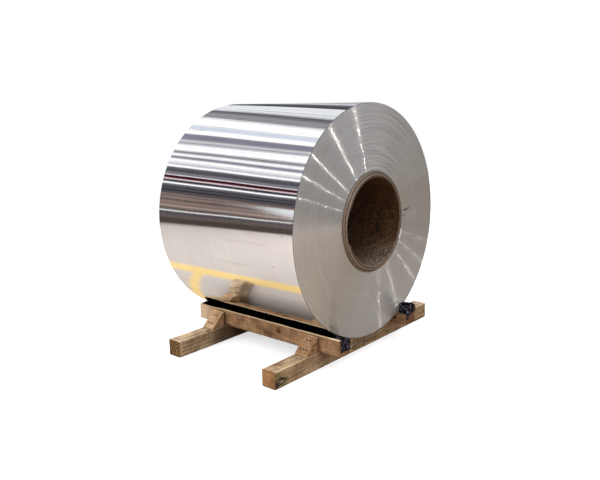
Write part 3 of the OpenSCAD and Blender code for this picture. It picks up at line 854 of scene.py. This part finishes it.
def studio_floor():
    """A pale floor: white to the camera but for the shadow on it, warm pale grey where the metal mirrors
    it."""
    material, add, place = new_material("pale_floor")
    path = add("LightPath")
    # Painted shade along the foot of the wall, drawn darker there, and paler floor in front of the coil's
    # end
    parts = add("SeparateXYZ", [place])
    along = add("MapRange", [parts.outputs["X"], WALL_X, WALL_X + 8])
    tone = add("ValToRGB", [along], stops=[(0.0, "#655C56"), (0.075, "#A39B95"), (0.33, "#BEB6AE"),
        (0.52, "#BEB6AE"), (0.545, "#B6A99A"), (0.95, "#D0C5BC")])
    # Painted shade on the floor's far side, towards +Y
    far_side = add("MapRange", [parts.outputs["Y"], 0.5, 5.0, 1.0, 0.42])
    tone = add("MixRGB", [1.0, tone, far_side], blend_type="MULTIPLY")
    # Dark close under the coil, where little light reaches
    off_middle = add("Math", [parts.outputs["X"]], operation="ABSOLUTE")
    beneath = add("MapRange", [off_middle, 0.65, 0.35])
    shade = add("MapRange", [parts.outputs["Y"], -0.66, -0.40, 0.0, 0.6])
    shade = add("Math", [shade, beneath], operation="MULTIPLY")
    tone = add("MixRGB", [shade, tone, "#3A3028"])
    # Worn yellow floor tape: a line along the coil, and a short one square to it
    for middle, turn, half in (((-0.6, -0.79, 0), math.radians(-3), (1.15, 0.062)),
            ((-0.84, -0.45, 0), math.radians(90), (0.36, 0.05))):
        tape = add("Mapping", {"Vector": place, "Location": middle, "Rotation": (0, 0, turn)},
            vector_type="TEXTURE")
        tape = add("SeparateXYZ", [tape])
        taped = 1.0
        for axis, reach in zip("XY", half):
            off = add("Math", [tape.outputs[axis]], operation="ABSOLUTE")
            inside = add("MapRange", [off, reach + 0.025, reach - 0.02])
            taped = add("Math", [inside, taped], operation="MULTIPLY")
        tone = add("MixRGB", [taped, tone, "#E2C484"])
    warm = add("BsdfDiffuse", [tone])
    dim = add("BsdfDiffuse", ["#80664E"])
    pale = add("BsdfDiffuse", ["#D8D8D8"])
    glow = add("Emission", ["#FFFFFF", 0.62])
    seen = add("AddShader", [pale, glow])
    unseen = add("MixShader", [path.outputs["Is Diffuse Ray"], warm, dim])
    both = add("MixShader", [path.outputs["Is Camera Ray"], unseen, seen])
    add("OutputMaterial", [both])
    mesh = bpy.data.meshes.new("floor")
    corners = [(WALL_X, -FLOOR_FAR), (FLOOR_FAR, -FLOOR_FAR), (FLOOR_FAR, FLOOR_FAR), (WALL_X, FLOOR_FAR)]
    mesh.from_pydata([(x, y, 0.0) for x, y in corners], [], [(0, 1, 2, 3)])
    mesh.materials.append(material)
    floor = bpy.data.objects.new("floor", mesh)
    bpy.context.scene.collection.objects.link(floor)


def lamp(name, place, power, size=0.12, mirrored=True):
    """A round ceiling lamp that faces the coil, and shows either in the metal or on matt surfaces."""
    light = bpy.data.lights.new(name, "AREA")
    light.shape, light.size, light.energy = "DISK", size, power
    light.color = (1.0, 0.97, 0.93)
    holder = bpy.data.objects.new(name, light)
    holder.location = place
    holder.rotation_euler = (Vector((0, 0, AXIS_Z)) - Vector(place)).to_track_quat("-Z", "Y").to_euler()
    holder.visible_diffuse, holder.visible_glossy = not mirrored, mirrored
    bpy.context.scene.collection.objects.link(holder)


CEILING = 5.0


def studio_lamps():
    """Ceiling lamps in front of the coil's end, which its turned edges draw out into rays, and a wide
    soft light from the left."""
    for name, x, y, power in (("right", 6.6, 7.2, 24), ("middle", 7.9, 4.4, 34), ("left", 6.9, -0.2, 26),
            ("far_left", 10.9, -1.6, 30), ("last", 18.0, -6.4, 60)):
        lamp("lamp_" + name, (x, y, CEILING), power)
    lamp("soft_light", (-2.0, -6.0, 3.6), 130, size=3.0, mirrored=False)


def camera():
    """Stands off the coil's front left, a little above its axis, and is tilted slightly."""
    turn, rise, roll, apart = math.radians(41.19), math.radians(9.78), math.radians(-1.37), 4.1316
    back = Vector((math.sin(turn) * math.cos(rise), -math.cos(turn) * math.cos(rise), math.sin(rise)))
    level = Vector((math.cos(turn), math.sin(turn), 0))
    upright = back.cross(level)
    right = level * math.cos(roll) + upright * math.sin(roll)
    up = upright * math.cos(roll) - level * math.sin(roll)
    target = Vector(((RIM_FRONT_X + RIM_BACK_X) / 2, 0, AXIS_Z))
    data = bpy.data.cameras.new("camera")
    data.sensor_width, data.lens, data.shift_y = 36.0, 40.565, -0.0457
    data.clip_end = 100
    holder = bpy.data.objects.new("camera", data)
    pose = Matrix((right, up, back)).transposed().to_4x4()
    pose.translation = target + back * apart
    holder.matrix_world = pose
    bpy.context.scene.collection.objects.link(holder)
    bpy.context.scene.camera = holder


# ---------------- put together

camera()
studio_world()
studio_floor()
studio_lamps()

dress(coil(), "aluminium", [rolled_aluminium(), turn_edges(), sheet_end()], "coil")
dress(core(), "cardboard", [cardboard()], "core_tube")

# Each timber's grain axis, its pith line's place across, its knots, and its looks
timbers = {
    "front_bearer": (1, (0.36, 0.02), [(-0.34, 0.40, 0.10)], dict(board="#DEC199", late="#94704A",
        bark_end=(-0.74, -0.55), end_tone="#FFEED8", end_rings="#C89A6C")),
    "back_bearer": (1, (-0.25, -0.03), [(-0.52, -0.33, 0.10)], dict(board="#F8E0BA", end_tone="#BCA67C",
        end_rings="#2E1C0C", ring_gap=15 * MM, shaded_span=(-0.56, -0.42))),
    "left_rail": (0, (-0.30, 0.09), [(0.12, -0.377, 0.15)], dict(board="#C9A27A", late="#9C7450",
        end_tone="#FFF4E4", top_tone="#FFE4B8", pale_end=(-0.38, -0.52))),
    "right_rail": (0, (0.30, 0.20), [(0.47, 0.28, 0.13)], dict(board="#C9A27A", late="#9C7450",
        end_tone="#D0BCA4", top_tone="#FFE4B8")),
    "front_left_chock": (1, (0.34, 0.16), [], dict(board="#DDB386", late="#8E6440", ring_gap=6 * MM)),
    "back_left_chock": (1, (-0.40, 0.20), [], dict(board="#E6C196", late="#96704C", ring_gap=6 * MM)),
    "front_right_chock": (1, (0.34, 0.22), [], dict(board="#D2A878")),
    "back_right_chock": (1, (-0.40, 0.10), [], dict(board="#D2A878")),
}
for number, (node, (grain, pith, knots, extra)) in enumerate(timbers.items()):
    wood = pine("sawn_pine_" + node, grain, pith, knots, 0.37 * number, **extra)
    long_axis = 1 if node.endswith("bearer") else 0
    dress(sawn_timber(node, long_axis, 20 + 5 * number), "pine", [wood], node)

nail_steel = wire_nail()
film = black_film()
left_film = film_sheet(LEFT, "left_film", 0, [(0, 0.072), (0.5, 0.070), (1, 0.052)], (0.3 * MM, 5 * MM), 61)
right_film = film_sheet(RIGHT, "right_film", 1, [(0, 0.024), (0.3, 0.052), (0.72, 0.088), (1, 0.088)],
    (0.3 * MM, 7 * MM), 71)
dress(left_film, "black_film", [film], "left_film")
dress(right_film, "black_film", [film], "right_film")
right_film.visible_glossy = False        # the coil's end is too rough to mirror the bunched film
for node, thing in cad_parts.items():
    if node.endswith("nails"):
        thing.data.materials.clear()
        thing.data.materials.append(nail_steel)

bpy.context.scene.view_settings.view_transform = "Standard"
